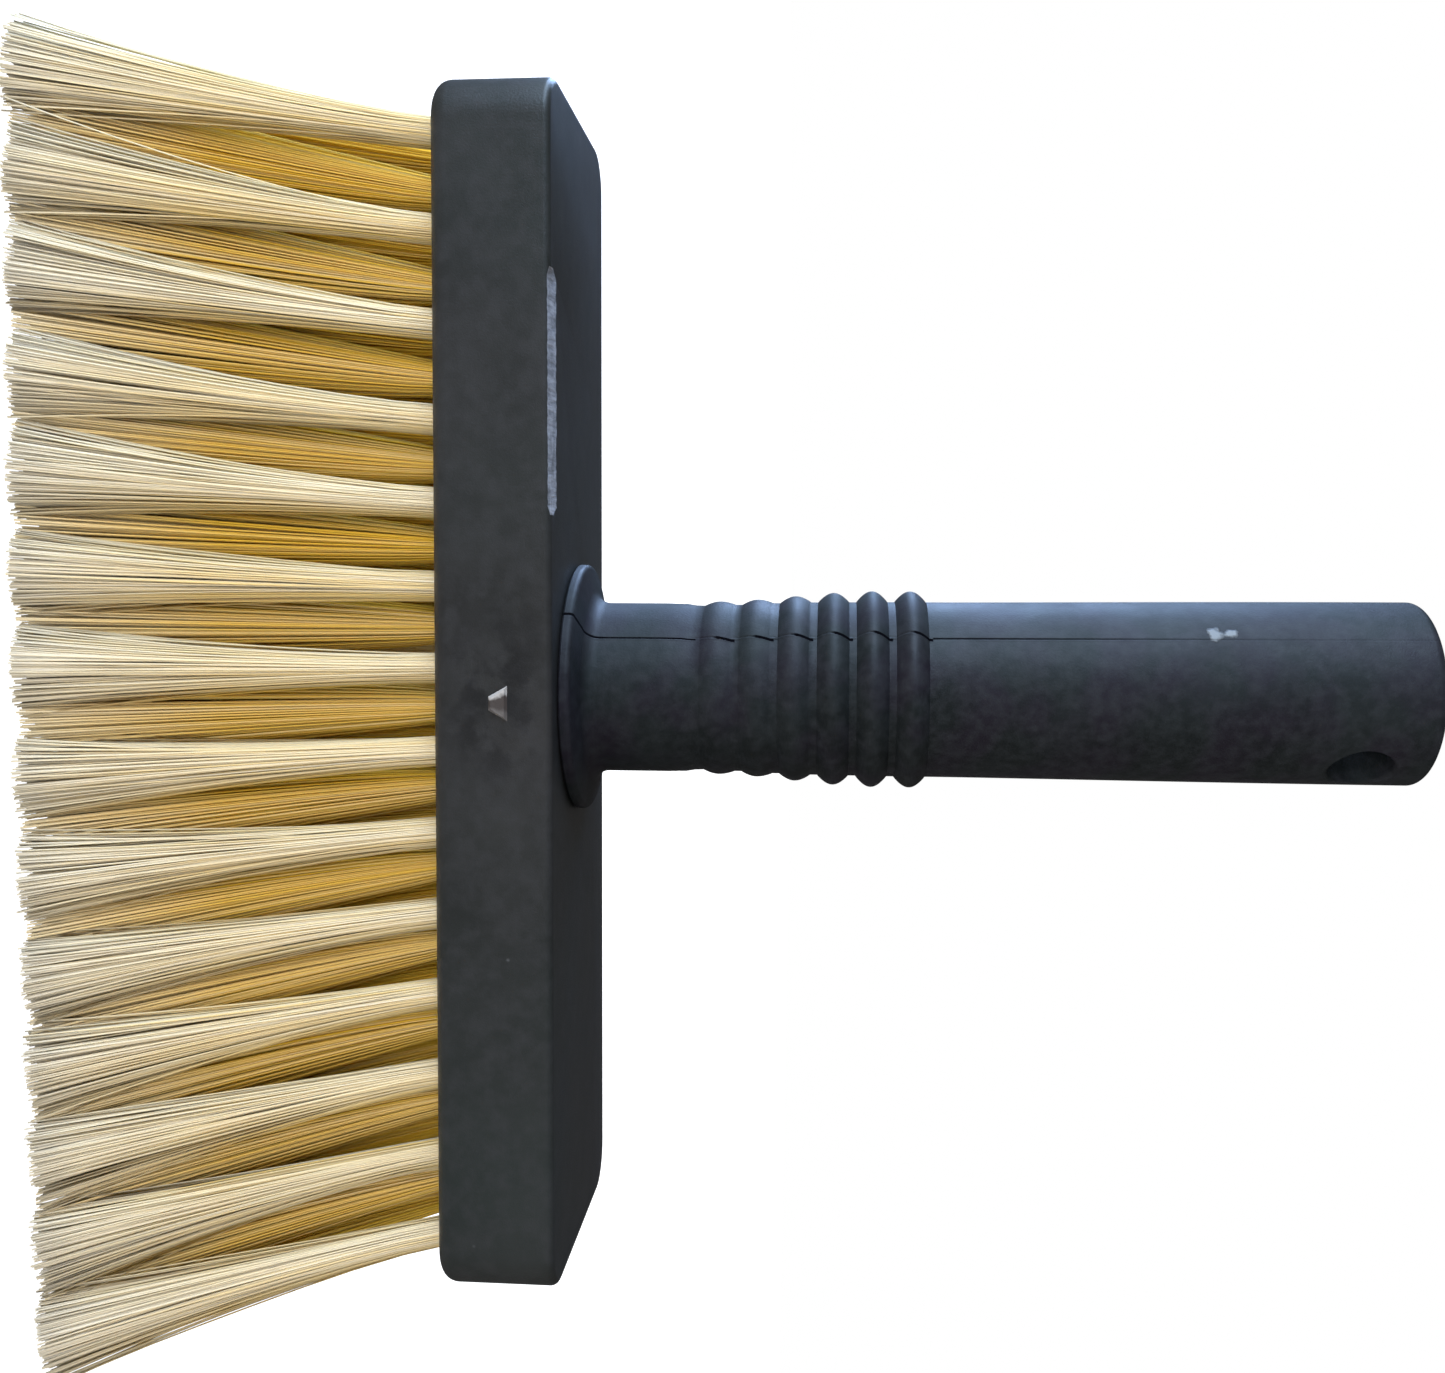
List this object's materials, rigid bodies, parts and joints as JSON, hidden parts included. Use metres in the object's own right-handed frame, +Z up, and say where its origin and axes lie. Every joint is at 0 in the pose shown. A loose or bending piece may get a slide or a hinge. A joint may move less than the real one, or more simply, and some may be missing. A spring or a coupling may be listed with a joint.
{
  "type": "bee brush",
  "caption": "T-shaped beekeeping brush with a long block of soft yellow bristles and an upright ringed tube handle with a hanging hole.",
  "frame": {"origin": "on the handle's axis, in the plane of the bristle tips that the brush stands on", "axes": "+Z up along the handle, +X along the bristle block, +Y across the block"},
  "size_m": [0.229, 0.0503, 0.233],
  "materials": {
    "block_plastic": "dark grey moulded plastic, finely grained",
    "handle_plastic": "dark grey moulded plastic, slightly satin",
    "bristle": "pale yellow translucent synthetic filament",
    "anchor_wire": "flat drawn wire"
  },
  "bodies": {
    "root": {"block": "block_plastic", "handle": "handle_plastic", "anchors_back": "anchor_wire", "anchors_front": "anchor_wire", "anchors_inner_back": "anchor_wire", "anchors_inner_front": "anchor_wire", "anchors_middle": "anchor_wire", "tuft_back_01": "bristle", "tuft_back_02": "bristle", "tuft_back_03": "bristle", "tuft_back_04": "bristle", "tuft_back_05": "bristle", "tuft_back_06": "bristle", "tuft_back_07": "bristle", "tuft_back_08": "bristle", "tuft_back_09": "bristle", "tuft_back_10": "bristle", "tuft_back_11": "bristle", "tuft_back_12": "bristle", "tuft_back_13": "bristle", "tuft_back_14": "bristle", "tuft_front_01": "bristle", "tuft_front_02": "bristle", "tuft_front_03": "bristle", "tuft_front_04": "bristle", "tuft_front_05": "bristle", "tuft_front_06": "bristle", "tuft_front_07": "bristle", "tuft_front_08": "bristle", "tuft_front_09": "bristle", "tuft_front_10": "bristle", "tuft_front_11": "bristle", "tuft_front_12": "bristle", "tuft_front_13": "bristle", "tuft_front_14": "bristle", "tuft_middle_01": "bristle", "tuft_middle_02": "bristle", "tuft_middle_03": "bristle", "tuft_middle_04": "bristle", "tuft_middle_05": "bristle", "tuft_middle_06": "bristle", "tuft_middle_07": "bristle", "tuft_middle_08": "bristle", "tuft_middle_09": "bristle", "tuft_middle_10": "bristle", "tuft_middle_11": "bristle", "tuft_middle_12": "bristle", "tuft_middle_13": "bristle", "tufts_inner_back": "bristle", "tufts_inner_front": "bristle"}
  },
  "joints": []
}
